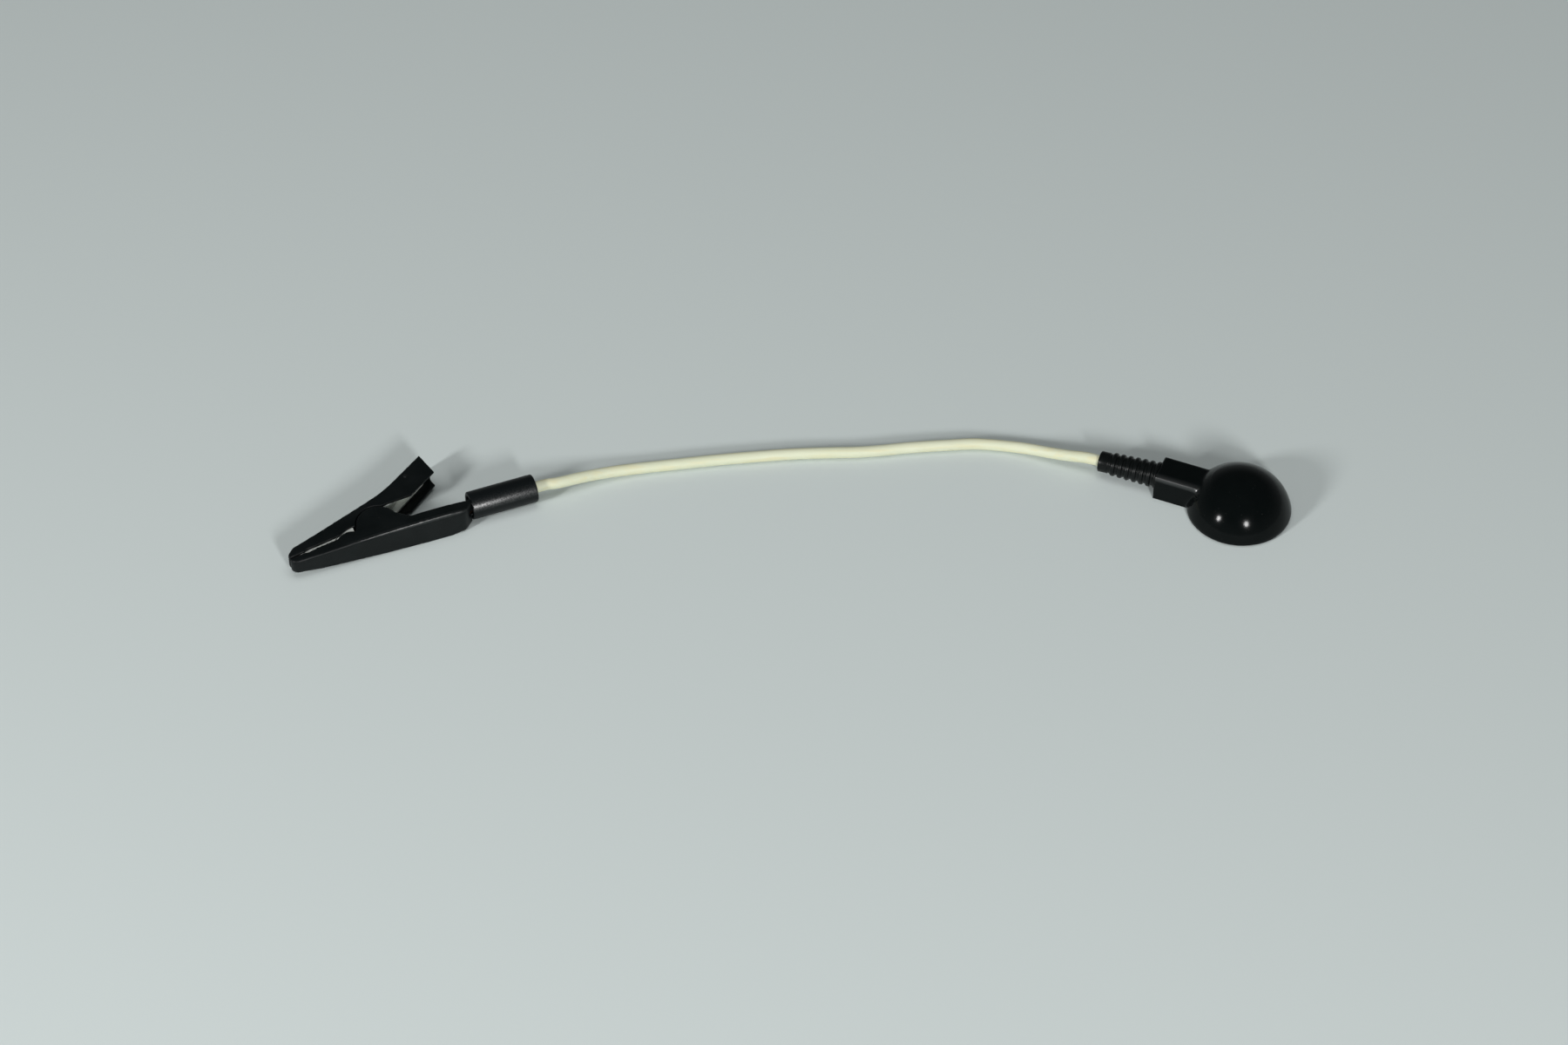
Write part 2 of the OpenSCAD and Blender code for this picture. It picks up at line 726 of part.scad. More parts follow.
module lining_back() {
    intersection() {
        difference() {
            lever_hollow(shell_shift);
            lever_hollow(shell_shift + strip_shift);
        }
        lining_reach();
    }
}

// Everything in front of the lining's end in the handle
module lining_reach() {
    lining_end = knee + lining_l * handle_dir;
    polygon([[strip_back - eps, 0], [strip_back - eps, knee_h * 2], lining_end - wall * handle_in,
             lining_end + flange_d * handle_in, knee + 2 * flange_d * handle_in]);
}

module lining_flange() {
    difference() {
        intersection() {
            lever_hollow(shell_shift);
            lining_reach();
        }
        lever_hollow(shell_shift + lining_d * into_lever);
    }
}

module strip_edge_upper() {
    difference() {
        rotate(mouth_angle) difference() {
            translate([-nose_l - over, -tooth_h / 2 + tooth_set]) square([nose_l * 2, nose_l]);
            translate([0, tooth_set]) tooth_row(teeth + 2, -1);
        }
        translate(recess_at) circle(recess_r + 2 * cheek_lap);
        translate([strip_back, -nose_l]) square(3 * nose_l);
    }
}

// ---- Sleeve and the wire's clip end ----

module barrel_sleeve() {
    color(black) place_clip() place_sleeve(tail_l) rotate_extrude() polygon([
        [sleeve_d / 2 - sleeve_wall, 0], [sleeve_d / 2 - sleeve_chamfer, 0],
        [sleeve_d / 2, sleeve_chamfer], [sleeve_d / 2, sleeve_l - sleeve_chamfer],
        [sleeve_d / 2 - sleeve_chamfer, sleeve_l], [wire_d / 2, sleeve_l],
        [wire_d / 2, sleeve_l - sleeve_end_l], [sleeve_d / 2 - sleeve_wall, sleeve_l - sleeve_end_l]]);
}

module insulation(l) {
    difference() {
        cylinder(d = wire_d, h = l);
        translate([0, 0, -over]) cylinder(d = core_d, h = l + 2 * over);
    }
}

module clip_wire_end() {
    color(cream) place_clip() place_sleeve(stub_x) insulation(sleeve_x1 - stub_x);
}

module clip_conductor() {
    color(copper) place_clip() tube([
        [crimp_x - crimp_stub, crimp_h, 0], [crimp_x + crimp_l + crimp_bend, crimp_h, 0],
        [tail_l - wall, crimp_h + tail_rise, 0], [tail_l + bare_l / 2, -sleeve_drop - bare_dip, 0],
        [stub_x - stub_bend, -sleeve_drop, 0], [sleeve_x1, -sleeve_drop, 0]], core_d, 8);
}

module lead_wire() {
    start = clip_point([sleeve_x1, -sleeve_drop, 0]);
    straight = clip_point([sleeve_x1 + wire_d, -sleeve_drop, 0]);
    end = relief_point([relief_l, 0, 0]);
    straight_end = relief_point([relief_l + wire_d, 0, 0]);
    color(cream) tube(concat([start, straight], lead_route, [straight_end, end]), wire_d, 8);
}

// ---- Connector ----

module strain_relief() {
    outer = function (x) (relief_root_d + (relief_tip_d - relief_root_d) * x / relief_l) / 2;
    rib_line = [for (i = [0:ribs - 1])
        let (a = i * rib_pitch, b = a + rib_pitch - groove_w, c = a + rib_pitch)
        each [[outer(a), a], [outer(b), b], [outer(b) - groove_depth, b], [outer(c) - groove_depth, c]]];
    color(black) place_snap() difference() {
        place_relief() rotate([0, 90, 0]) rotate_extrude() polygon(concat(
            [[wire_d / 2, -anchor_l], [anchor_d / 2, -anchor_l], [anchor_d / 2, 0]], rib_line,
            [[collar_d / 2, relief_l - collar_l], [collar_d / 2, relief_l], [wire_d / 2, relief_l]]));
        // Flat seat on the neck's face, which the relief leans from
        difference() {
            neck();
            anchor_pocket();
        }
    }
}

module anchor_pocket() {
    place_relief() rotate([0, 90, 0]) translate([0, 0, -anchor_l])
        cylinder(d = anchor_d, h = anchor_l + over);
}

module snap_wire_end() {
    color(cream) place_snap() place_relief() translate([-stub_in, 0, 0]) rotate([0, 90, 0])
        insulation(relief_l + stub_in);
}

// Conductor from the joint inside the button to its bend in front of the insulation, and on to the wire
module snap_conductor() {
    color(copper) place_snap()
        tube([conductor_start, conductor_bend, on_wire(-stub_in), on_wire(relief_l)], core_d, 8);
}

// Point on the wire's axis, at a distance outwards from the neck's face
function on_wire(x) = turned([x, 0, 0], relief_lean) + [neck_l, 0, neck_axis_h];
conductor_start = [joint_x - lead_d, 0, neck_axis_h];
conductor_bend = on_wire(-stub_in - bare_in);

module resistor_body() {
    color("tan") place_snap() translate([-resistor_l / 2, 0, resistor_z]) rotate([0, 90, 0])
        cylinder(d = resistor_d, h = resistor_l);
}

// One lead bends down over the socket to the conductor, the other to the solder tag
module resistor_leads() {
    color(steel) place_snap() {
        tube([[resistor_l / 2, 0, resistor_z], [resistor_l / 2 + lead_run, 0, resistor_z],
              [joint_x - first_step.x, 0, resistor_z - first_step.y],
              [lead_foot_x, 0, resistor_z - second_step.y],
              [lead_foot_x, 0, neck_axis_h + core_d / 2]], lead_d, 8);
        tube([[-resistor_l / 2, 0, resistor_z], [-lead_reach + tag_bend, 0, resistor_z],
              [-lead_reach, 0, resistor_z - tag_bend], [-lead_reach, 0, tag_z + tag_t]], lead_d, 8);
    }
}

module solder_joints() {
    color(steel) place_snap() difference() {
        union() {
            translate([joint_x, 0, neck_axis_h + joint_rise]) sphere(d = solder_d);
            translate([-lead_reach, 0, tag_z + tag_t]) intersection() {
                sphere(d = solder_d);
                translate([0, 0, solder_d / 2]) cube(solder_d, center = true);
            }
        }
        rod([lead_foot_x, 0, neck_axis_h], [lead_foot_x, 0, resistor_z], lead_d);
        rod([-lead_reach, 0, tag_z], [-lead_reach, 0, resistor_z], lead_d);
        rod(conductor_start, conductor_bend, core_d);
    }
}

module solder_tag() {
    color("gold") place_snap() translate([0, 0, tag_z]) difference() {
        union() {
            cylinder(d = tag_d, h = tag_t);
            translate([-lead_reach - tag_w / 2, -tag_w / 2, 0])
                cube([lead_reach + tag_w / 2, tag_w, tag_t]);
        }
        translate([0, 0, -over]) cylinder(d = rivet_d, h = tag_t + 2 * over);
    }
}

module socket_rivet() {
    color(steel) place_snap() {
        translate([0, 0, socket_top]) cylinder(d = rivet_head_d, h = rivet_head_t);
        translate([0, 0, socket_top]) cylinder(d = rivet_d, h = tag_z + tag_t - socket_top);
        translate([0, 0, tag_z + tag_t]) cylinder(d = rivet_head_d, h = rivet_head_t);
    }
}

// Pressed cup with a flange, a bead for the ring spring and a raised seat for the rivet
module snap_socket() {
    color(steel) place_snap() rotate_extrude() polygon([
        [socket_flange_d / 2, socket_lift], [socket_flange_d / 2, socket_lift + socket_t],
        [socket_r + socket_t, socket_lift + socket_t], [socket_r + socket_t, bead_z - socket_t],
        [bead_r + socket_t, bead_z - socket_t], [bead_r + socket_t, bead_z + bead_h + socket_t],
        [socket_r + socket_t, bead_z + bead_h + socket_t], [socket_r + socket_t, socket_top + socket_t],
        [rivet_seat_r + socket_t, socket_top + socket_t], [rivet_seat_r + socket_t, tag_z],
        [rivet_d / 2, tag_z], [rivet_d / 2, tag_z - socket_t],
        [rivet_seat_r, tag_z - socket_t], [rivet_seat_r, socket_top],
        [socket_r, socket_top], [socket_r, bead_z + bead_h], [bead_r, bead_z + bead_h],
        [bead_r, bead_z], [socket_r, bead_z], [socket_r, socket_lift]]);
}

module socket_spring() {
    color(steel) place_snap() translate([0, 0, bead_z + bead_h / 2])
        rotate(ring_split / 2) rotate_extrude(angle = 360 - ring_split)
            translate([bead_r - ring_wire / 2, 0]) circle(d = ring_wire);
}

// Ring over the socket's flange that closes the button's underside
module snap_base_cover() {
    color(black) place_snap() rotate_extrude() polygon([
        [socket_flange_d / 2, socket_lift], [cavity_r, socket_lift],
        [cavity_r, socket_lift + cover_t], [bead_r + socket_t, socket_lift + cover_t],
        [bead_r + socket_t, socket_lift + socket_t], [socket_flange_d / 2, socket_lift + socket_t]]);
}

module snap_dome_shell() {
    color(black) place_snap() difference() {
        union() {
            intersection() {
                translate([0, 0, dome_z]) sphere(dome_r, $fn = 128);
                union() {
                    translate([0, 0, rim_chamfer]) cylinder(r = button_r, h = button_h);
                    cylinder(r1 = button_r - rim_chamfer, r2 = button_r, h = rim_chamfer);
                }
            }
            neck();
        }
        intersection() {
            translate([0, 0, dome_z]) sphere(dome_r - button_wall, $fn = 128);
            translate([0, 0, -over]) cylinder(r = cavity_r, h = button_h);
        }
        // Seat of the base cover
        translate([0, 0, -over]) cylinder(r = cavity_r, h = over + socket_lift + cover_t);
        anchor_pocket();
        // Bore for the wire, on into the button
        place_relief() rotate([0, 90, 0]) translate([0, 0, -neck_l + cavity_r - over])
            cylinder(d = wire_d, h = neck_l);
    }
}

// Neck with chamfered top edges
module neck() {
    rotate([90, 0, 90]) linear_extrude(neck_l) polygon([
        [-neck_foot_w / 2, 0], [neck_foot_w / 2, 0], [neck_top_w / 2, neck_h - neck_chamfer],
        [neck_top_w / 2 - neck_chamfer, neck_h], [-neck_top_w / 2 + neck_chamfer, neck_h],
        [-neck_top_w / 2, neck_h - neck_chamfer]]);
}

lower_jaw_shell();
lower_contact_jaw();
hinge_pin();
torsion_spring();
upper_jaw_shell();
upper_contact_jaw();
barrel_sleeve();
clip_conductor();
clip_wire_end();
lead_wire();
strain_relief();
snap_wire_end();
snap_conductor();
resistor_body();
resistor_leads();
solder_joints();
solder_tag();
socket_rivet();
snap_socket();
socket_spring();
snap_base_cover();
snap_dome_shell();
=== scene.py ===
"""Short grounding lead: crocodile clip, sleeve, free wire, strain relief and press-stud connector.

Everything is in metres, with Z = 0 on the table. The clip lies on its side, so its hinge pin is upright.
"""

import math

import bmesh
import bpy
from mathutils import Matrix, Vector


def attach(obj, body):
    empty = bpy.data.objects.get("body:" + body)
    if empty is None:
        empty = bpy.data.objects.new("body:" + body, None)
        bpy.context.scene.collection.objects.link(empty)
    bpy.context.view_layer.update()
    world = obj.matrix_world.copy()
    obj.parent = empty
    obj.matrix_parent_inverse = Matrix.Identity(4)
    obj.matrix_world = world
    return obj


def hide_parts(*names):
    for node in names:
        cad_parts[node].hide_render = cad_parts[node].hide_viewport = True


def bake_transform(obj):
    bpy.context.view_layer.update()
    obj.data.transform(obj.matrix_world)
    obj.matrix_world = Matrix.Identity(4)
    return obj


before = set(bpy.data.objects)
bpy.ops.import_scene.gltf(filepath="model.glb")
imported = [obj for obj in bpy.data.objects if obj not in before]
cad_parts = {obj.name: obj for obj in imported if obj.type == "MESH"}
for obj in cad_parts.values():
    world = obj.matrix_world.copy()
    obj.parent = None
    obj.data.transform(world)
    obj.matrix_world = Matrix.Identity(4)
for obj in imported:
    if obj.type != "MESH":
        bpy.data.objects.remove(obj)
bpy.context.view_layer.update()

# ---- Camera ----
# A long lens in front of the lead, half a metre above the table and looking down at 45 degrees. The whole
# lead lies in the middle of its frame.

camera = bpy.data.objects.new("camera", bpy.data.cameras.new("camera"))
camera.data.lens = 90
camera.data.sensor_width = 36
camera.data.clip_start = 0.02
camera.location = (-0.0021, -0.52223, 0.52163)
camera.rotation_euler = (math.radians(45), 0, 0)
bpy.context.collection.objects.link(camera)
bpy.context.scene.camera = camera
bpy.context.scene.view_settings.view_transform = "Standard"

# ---- Free wire ----
# Stranded copper wire in cream PVC, 2.2 mm across. It leaves the sleeve at 3 mm, comes down to the table,
# runs along it in one long bow, and rises again into the strain relief.

WIRE_ACROSS = 0.0022
wire_route = [
    (-0.049215, 0.005790, 0.0029), (-0.047178, 0.006622, 0.0029), (-0.0450, 0.0073, 0.0027),
    (-0.0414, 0.0089, 0.0023), (-0.0370, 0.0108, 0.0017), (-0.0320, 0.0123, 0.0013),
    (-0.0270, 0.0133, 0.00112), (-0.0220, 0.0141, 0.0011), (-0.0154, 0.0151, 0.0011),
    (-0.0074, 0.0161, 0.0011), (-0.0004, 0.0168, 0.0011), (0.0074, 0.0172, 0.0011),
    (0.0112, 0.0173, 0.0011), (0.0149, 0.0176, 0.0011), (0.0222, 0.0186, 0.0011),
    (0.0298, 0.0193, 0.0011), (0.0343, 0.0196, 0.0011), (0.0373, 0.0194, 0.0011),
    (0.0409, 0.0189, 0.00112), (0.0446, 0.0180, 0.00135), (0.0487, 0.0165, 0.00175),
    (0.0519, 0.0153, 0.0022), (0.055861, 0.013943, 0.0028), (0.057928, 0.013190, 0.0028),
]


class Signal:
    """One output of a shader node. A plus or times sign after it adds a Math node."""

    def __init__(self, finish, socket):
        self.finish, self.socket = finish, socket

    def math(self, operation, other):
        return self.finish.node("ShaderNodeMath", {"operation": operation}, {0: self, 1: other})

    def __add__(self, other):
        return self.math("ADD", other)

    def __mul__(self, other):
        return self.math("MULTIPLY", other)


class Finish:
    """A material with one Principled shader. Its other nodes are added one line at a time."""

    def __init__(self, name, **constants):
        self.material = bpy.data.materials.new(name)
        self.material.use_nodes = True
        self.tree = self.material.node_tree
        self.surface = self.tree.nodes["Principled BSDF"]
        for socket, value in constants.items():
            self.surface.inputs[socket.replace("_", " ")].default_value = value

    def node(self, kind, settings, inputs, output=0):
        """Adds a node with its settings. An input is a plain value or another node's signal."""
        made = self.tree.nodes.new(kind)
        for name, value in settings.items():
            setattr(made, name, value)
        for socket, value in inputs.items():
            if isinstance(value, Signal):
                self.tree.links.new(value.socket, made.inputs[socket])
            else:
                made.inputs[socket].default_value = value
        return Signal(self, made.outputs[output])

    def place(self):
        """Where a point of the piece is, in metres."""
        return self.node("ShaderNodeTexCoord", {}, {}, "Object")

    def place_on(self, matrix):
        """The same place in a matrix's own frame, as three signals: along, across and up."""
        turned_back = matrix.inverted()
        spot = self.node("ShaderNodeMapping", {}, {
            "Vector": self.place(), "Location": turned_back.translation,
            "Rotation": turned_back.to_euler()})
        return [self.node("ShaderNodeSeparateXYZ", {}, {"Vector": spot}, axis) for axis in "XYZ"]

    def cloud(self, place, scale, detail=2.0, roughness=0.5):
        """Soft noise from 0 to 1, with about scale blotches to the metre."""
        return self.node("ShaderNodeTexNoise", {}, {
            "Vector": place, "Scale": scale, "Detail": detail, "Roughness": roughness})

    def band(self, value, low, high):
        """0 where value is under low, 1 where it is over high, and a slope in between."""
        return self.node("ShaderNodeMapRange", {"clamp": True}, {
            "Value": value, "From Min": low, "From Max": high})

    def blend(self, mask, first, second):
        """A colour that goes from the first to the second as the mask goes from 0 to 1."""
        return self.node("ShaderNodeMix", {"data_type": "RGBA"}, {0: mask, 6: first, 7: second}, 2)

    def feed(self, socket, value):
        """Drives one input of the surface by a signal."""
        self.tree.links.new(value.socket, self.surface.inputs[socket])

    def relief(self, height, distance):
        """Bumps whose height goes from 0 to a distance in metres as the signal goes from 0 to 1."""
        self.feed("Normal", self.node("ShaderNodeBump", {}, {"Height": height, "Distance": distance}))


def wear(obj, finish):
    """Gives an object one finish all over."""
    obj.data.materials.clear()
    obj.data.materials.append(finish.material)


insulation = Finish("cream_pvc", Specular_IOR_Level=0.3)
along_wire = insulation.place()
faded = insulation.cloud(along_wire, 60, 3)
handled = insulation.cloud(along_wire, 420, 4, 0.6)
# Faint yellower streaks run along the wire, which lies mostly along X.
drawn_out = insulation.node("ShaderNodeMapping", {}, {"Vector": along_wire, "Scale": (0.06, 1, 1)})
streaks = insulation.band(insulation.cloud(drawn_out, 1300, 2), 0.45, 0.7)
pvc_tint = insulation.blend(
    insulation.band(faded, 0.35, 0.65), (0.71, 0.725, 0.55, 1), (0.66, 0.69, 0.51, 1))
insulation.feed("Base Color", insulation.blend(streaks * 0.7, pvc_tint, (0.70, 0.665, 0.43, 1)))
insulation.feed("Roughness", handled * 0.2 + 0.42)
insulation.relief(insulation.cloud(along_wire, 900, 3), 0.00003)

wire_line = bpy.data.curves.new("free_wire", "CURVE")
wire_line.dimensions = "3D"
wire_line.bevel_depth = WIRE_ACROSS / 2
wire_line.bevel_resolution = 8
wire_line.resolution_u = 10
wire_line.use_fill_caps = True
wire_spline = wire_line.splines.new("BEZIER")
wire_spline.bezier_points.add(len(wire_route) - 1)
for knot, point in zip(wire_spline.bezier_points, wire_route):
    knot.co = point
    knot.handle_left_type = knot.handle_right_type = "AUTO"
free_wire = bpy.data.objects.new("free_wire", wire_line)
bpy.context.collection.objects.link(free_wire)
wear(free_wire, insulation)
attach(free_wire, "clip_and_lead")
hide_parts("lead_wire")

# ---- Table and light ----
# A plain pale table. Two lamps stand low in front, to the left and to the right, and a wide soft one hangs
# overhead. The room is pale at the horizon and dim above.

table_top = bmesh.new()
bmesh.ops.create_grid(table_top, x_segments=1, y_segments=1, size=4)
table_mesh = bpy.data.meshes.new("table")
table_top.to_mesh(table_mesh)
table_top.free()
table = bpy.data.objects.new("table", table_mesh)
bpy.context.collection.objects.link(table)
wear(table, Finish("table_paint", Base_Color=(0.64, 0.70, 0.69, 1), Roughness=0.85, Specular_IOR_Level=0.2))


def lamp(name, azimuth, height, distance, size, watts, seen):
    """An oval lamp aimed at the middle of the lead. Azimuth 0 stands in front, 90 on the right.

    A lamp that isn't seen gives light, but no highlight of its own."""
    light = bpy.data.objects.new(name, bpy.data.lights.new(name, "AREA"))
    light.data.shape = "ELLIPSE"
    light.data.size, light.data.size_y = size
    light.data.energy = watts
    a, e = math.radians(azimuth), math.radians(height)
    away = Vector((math.sin(a) * math.cos(e), -math.cos(a) * math.cos(e), math.sin(e)))
    light.location = away * distance
    light.rotation_mode = "QUATERNION"
    light.rotation_quaternion = away.to_track_quat("Z", "Y")
    light.visible_glossy = seen
    bpy.context.collection.objects.link(light)


lamp("left_lamp", -50, 25, 0.9, (0.12, 0.16), 4.0, True)
lamp("right_lamp", 18.5, 25, 0.9, (0.12, 0.16), 4.0, True)
lamp("overhead_lamp", 0, 88, 1.0, (1.0, 0.8), 2.8, False)

room = bpy.data.worlds.new("room")
room.use_nodes = True
bpy.context.scene.world = room
room_light = room.node_tree.nodes["Background"]
room_place = room.node_tree.nodes.new("ShaderNodeTexCoord")
room_height = room.node_tree.nodes.new("ShaderNodeSeparateXYZ")
room_tint = room.node_tree.nodes.new("ShaderNodeValToRGB")
horizon, above = room_tint.color_ramp.elements
horizon.color = (0.26, 0.28, 0.28, 1)
above.position, above.color = 0.5, (0.07, 0.075, 0.075, 1)
room.node_tree.links.new(room_place.outputs["Generated"], room_height.inputs["Vector"])
room.node_tree.links.new(room_height.outputs["Z"], room_tint.inputs["Fac"])
room.node_tree.links.new(room_tint.outputs["Color"], room_light.inputs["Color"])

# ---- Lower jaw shell ----
# The fixed half of the clip's cover: one black moulding with a long spine, two ears round the hinge pin and
# a trough at the tail. Its edges are softly rounded, and its satin skin has a fine mottle.

# The clip's own frame has its origin on the hinge's axis at mid-height. X runs from the nose to the tail,
# and the near side is at negative Y.
HINGE, CLIP_TURN = (-0.0779, -0.0057, 0.0029), math.radians(22.2)
clip_place = Matrix.Translation(HINGE) @ Matrix.Rotation(CLIP_TURN, 4, "Z")

# Where the glossy coat along the near top edge starts, and where it is full. It is a placed highlight, not
# wear: the coat lies on that edge only, so that the lamps draw a bright line there.
LINE_ACROSS, LINE_UP = (-0.0029, -0.0034), (0.0021, 0.0025)

shell_black = Finish("satin_black_moulding", Specular_IOR_Level=0.2, Coat_IOR=1.8, Coat_Roughness=0.36)
on_shell = shell_black.place()
mottle = shell_black.cloud(on_shell, 1600, 3, 0.6)
rubbed = shell_black.cloud(on_shell, 210, 4, 0.55)
dusty = shell_black.band(shell_black.cloud(on_shell, 4200, 2), 0.70, 0.78)
shell_skin = shell_black.blend(
    shell_black.band(rubbed, 0.35, 0.75), (0.0018, 0.0032, 0.0034, 1), (0.0045, 0.0062, 0.0064, 1))
shell_black.feed("Base Color", shell_black.blend(dusty * 0.4, shell_skin, (0.06, 0.055, 0.05, 1)))
shell_black.feed("Roughness", rubbed * 0.2 + 0.34)
shell_black.relief(mottle * 0.7 + rubbed * 0.3, 0.00004)
across, up = shell_black.place_on(clip_place)[1:]
# The highlight itself comes from the lamps, but where it falls is painted: a glossy coat is laid only on
# the near top edge.
spine_highlight_coat = shell_black.band(across, *LINE_ACROSS) * shell_black.band(up, *LINE_UP)
shell_black.feed("Coat Weight", spine_highlight_coat * (mottle * 1.2 + 0.05))


def moulded(node, place, grain, passes):
    """A node's solid with its sharp edges rounded, in the frame of its place.

    It is remeshed in cells as wide as the grain, square to that frame, so that long edges stay straight,
    and smoothed by that many light passes."""
    bm = bmesh.new()
    bm.from_mesh(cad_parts[node].data)
    bmesh.ops.remove_doubles(bm, verts=bm.verts, dist=1e-6)
    bmesh.ops.transform(bm, matrix=place.inverted(), verts=bm.verts)
    draft = bpy.data.objects.new("draft", bpy.data.meshes.new("draft"))
    bm.to_mesh(draft.data)
    bpy.context.collection.objects.link(draft)
    rounding = draft.modifiers.new("rounding", "REMESH")
    rounding.mode = "VOXEL"
    rounding.voxel_size = grain
    easing = draft.modifiers.new("easing", "SMOOTH")
    easing.factor, easing.iterations = 0.5, passes
    rounded = draft.evaluated_get(bpy.context.evaluated_depsgraph_get()).to_mesh()
    bm.clear()
    bm.from_mesh(rounded)
    bpy.data.objects.remove(draft)
    return bm


def finished(name, bm, finish, body, slot, *nodes):
    """Makes a piece of the shape, in its finish and on its body, in place of its nodes.
"""
    mesh = bpy.data.meshes.new(name)
    bm.to_mesh(mesh)
    bm.free()
    mesh.shade_smooth()
    piece = bpy.data.objects.new(name, mesh)
    bpy.context.collection.objects.link(piece)
    wear(piece, finish)
    if body:
        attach(piece, body)
    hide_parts(*nodes)
    return piece


def smoothed(bm, verts):
    """One light smoothing pass over some vertices."""
    bmesh.ops.smooth_vert(bm, verts=verts, factor=0.5, use_axis_x=True, use_axis_y=True, use_axis_z=True)


def eased(bm, passes, depth):
    """Wears a moulded shape rounder, one light pass at a time.

    depth gives how deep a vertex lies in the worn place, from 0 at its border to 1, and the outer ones
    are left out of the later passes, so that no step shows at the border."""
    bm.normal_update()
    worn = [(depth(vert), vert) for vert in bm.verts]
    for turn in range(passes):
        smoothed(bm, [vert for deep, vert in worn if deep > turn / passes])


def past(value, border, width):
    """How far a value has gone past a border, as a share of a width."""
    return (value - border) / width


# The worn places of the lower jaw: the near top edge of its spine, its tail's near side and its nose.
SPINE_SIDE, SPINE_TOP, SPINE_FADE = 0.0022, 0.0014, 0.0006
TAIL_START, TAIL_FADE, TAIL_SIDE = 0.0135, 0.0020, 0.0014
TAIL_END, TAIL_END_FADE = 0.0180, 0.0004
NOSE_START, NOSE_FADE = 0.0125, 0.0030

lower_jaw = moulded("lower_jaw_shell", clip_place, grain=0.00012, passes=10)
eased(lower_jaw, passes=40, depth=lambda vert: min(
    past(-vert.co.y, SPINE_SIDE, SPINE_FADE), past(vert.co.z, SPINE_TOP, SPINE_FADE)))
eased(lower_jaw, passes=60, depth=lambda vert: min(
    past(vert.co.x, TAIL_START, TAIL_FADE), past(-vert.co.y, TAIL_SIDE, SPINE_FADE),
    past(-vert.co.x, -TAIL_END, TAIL_END_FADE)))
eased(lower_jaw, passes=60, depth=lambda vert: past(-vert.co.x, NOSE_START, NOSE_FADE))
bmesh.ops.transform(lower_jaw, matrix=clip_place, verts=lower_jaw.verts)
finished("lower_jaw", lower_jaw, shell_black, "clip_and_lead", "black_shell", "lower_jaw_shell")

# ---- Contact jaws ----
# Two strips of nickel-plated steel with teeth along the mouth. The upper one runs on into the handle as
# its lining, the lower one ends in the crimp barrel. The hinge pin and the socket's rivet are plated too.

plated = Finish("nickel_plated_steel", Metallic=0.4)
on_strip = plated.place()
brushed = plated.cloud(plated.node("ShaderNodeMapping", {}, {
    "Vector": on_strip, "Rotation": (0, 0, -CLIP_TURN), "Scale": (1, 12, 12)}), 500, 3)
plated.feed("Base Color", plated.blend(brushed, (0.88, 0.91, 0.86, 1), (0.78, 0.80, 0.76, 1)))
plated.feed("Roughness", brushed * 0.15 + 0.34)
plated.relief(brushed, 0.00001)
for node in ("lower_contact_jaw", "upper_contact_jaw", "hinge_pin", "socket_rivet"):
    wear(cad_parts[node], plated)

# ---- Torsion spring ----
# Spring-steel wire wound round the hinge pin. One leg lies on the lower strip, the other in the handle's
# lining. In the real clip the turns between them twist as the lever moves; here the spring is one fixed
# piece, on no body.

SPRING_WIRE = 0.00045
COIL_R = 0.0015
COIL_PITCH = 0.00086
LOWER_LEG, LOWER_LEG_ANGLE = 0.0065, math.radians(-7.41)
UPPER_LEG, UPPER_LEG_ANGLE = 0.0086, math.radians(42.11)
LEG_DRAW_IN = 0.0003
# Two and a half turns, less the angle between the legs.
COIL_TURN = 5 * math.pi - UPPER_LEG_ANGLE + LOWER_LEG_ANGLE
COIL_RISE = COIL_PITCH * COIL_TURN / (2 * math.pi)
COIL_STEPS = 84

drawn_wire = Finish("spring_steel", Metallic=1.0)
drawn = drawn_wire.cloud(drawn_wire.place(), 2500, 2)
drawn_wire.feed("Base Color", drawn_wire.blend(drawn, (0.50, 0.49, 0.47, 1), (0.36, 0.355, 0.35, 1)))
drawn_wire.feed("Roughness", drawn * 0.15 + 0.22)

coil = bmesh.new()
coil_start = Vector((
    COIL_R * math.sin(LOWER_LEG_ANGLE), -COIL_R * math.cos(LOWER_LEG_ANGLE), -COIL_RISE / 2))
first_ring = bmesh.ops.create_circle(
    coil, segments=12, radius=SPRING_WIRE / 2, cap_ends=False,
    matrix=Matrix.Translation(coil_start) @ Matrix.Rotation(LOWER_LEG_ANGLE, 4, "Z")
    @ Matrix.Rotation(math.radians(90), 4, "Y"))["verts"]
first_edges = coil.edges[:]
last_ring = bmesh.ops.spin(coil, geom=first_ring + first_edges, cent=(0, 0, 0), axis=(0, 0, 1),
                           dvec=(0, 0, COIL_RISE / COIL_STEPS), angle=-COIL_TURN, steps=COIL_STEPS,
                           use_merge=False)["geom_last"]
last_edges = [part for part in last_ring if isinstance(part, bmesh.types.BMEdge)]
for edges, length, angle, draw in ((first_edges, LOWER_LEG, LOWER_LEG_ANGLE, LEG_DRAW_IN),
                                   (last_edges, UPPER_LEG, UPPER_LEG_ANGLE, -LEG_DRAW_IN)):
    leg = bmesh.ops.extrude_edge_only(coil, edges=edges)["geom"]
    bmesh.ops.translate(coil, verts=[part for part in leg if isinstance(part, bmesh.types.BMVert)],
                        vec=(length * math.cos(angle), length * math.sin(angle), draw))
bmesh.ops.holes_fill(coil, edges=coil.edges, sides=0)
bmesh.ops.recalc_face_normals(coil, faces=coil.faces)
bmesh.ops.transform(coil, matrix=clip_place, verts=coil.verts)
spring = finished("wound_spring", coil, drawn_wire, None, "spring_steel", "torsion_spring")
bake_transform(spring)

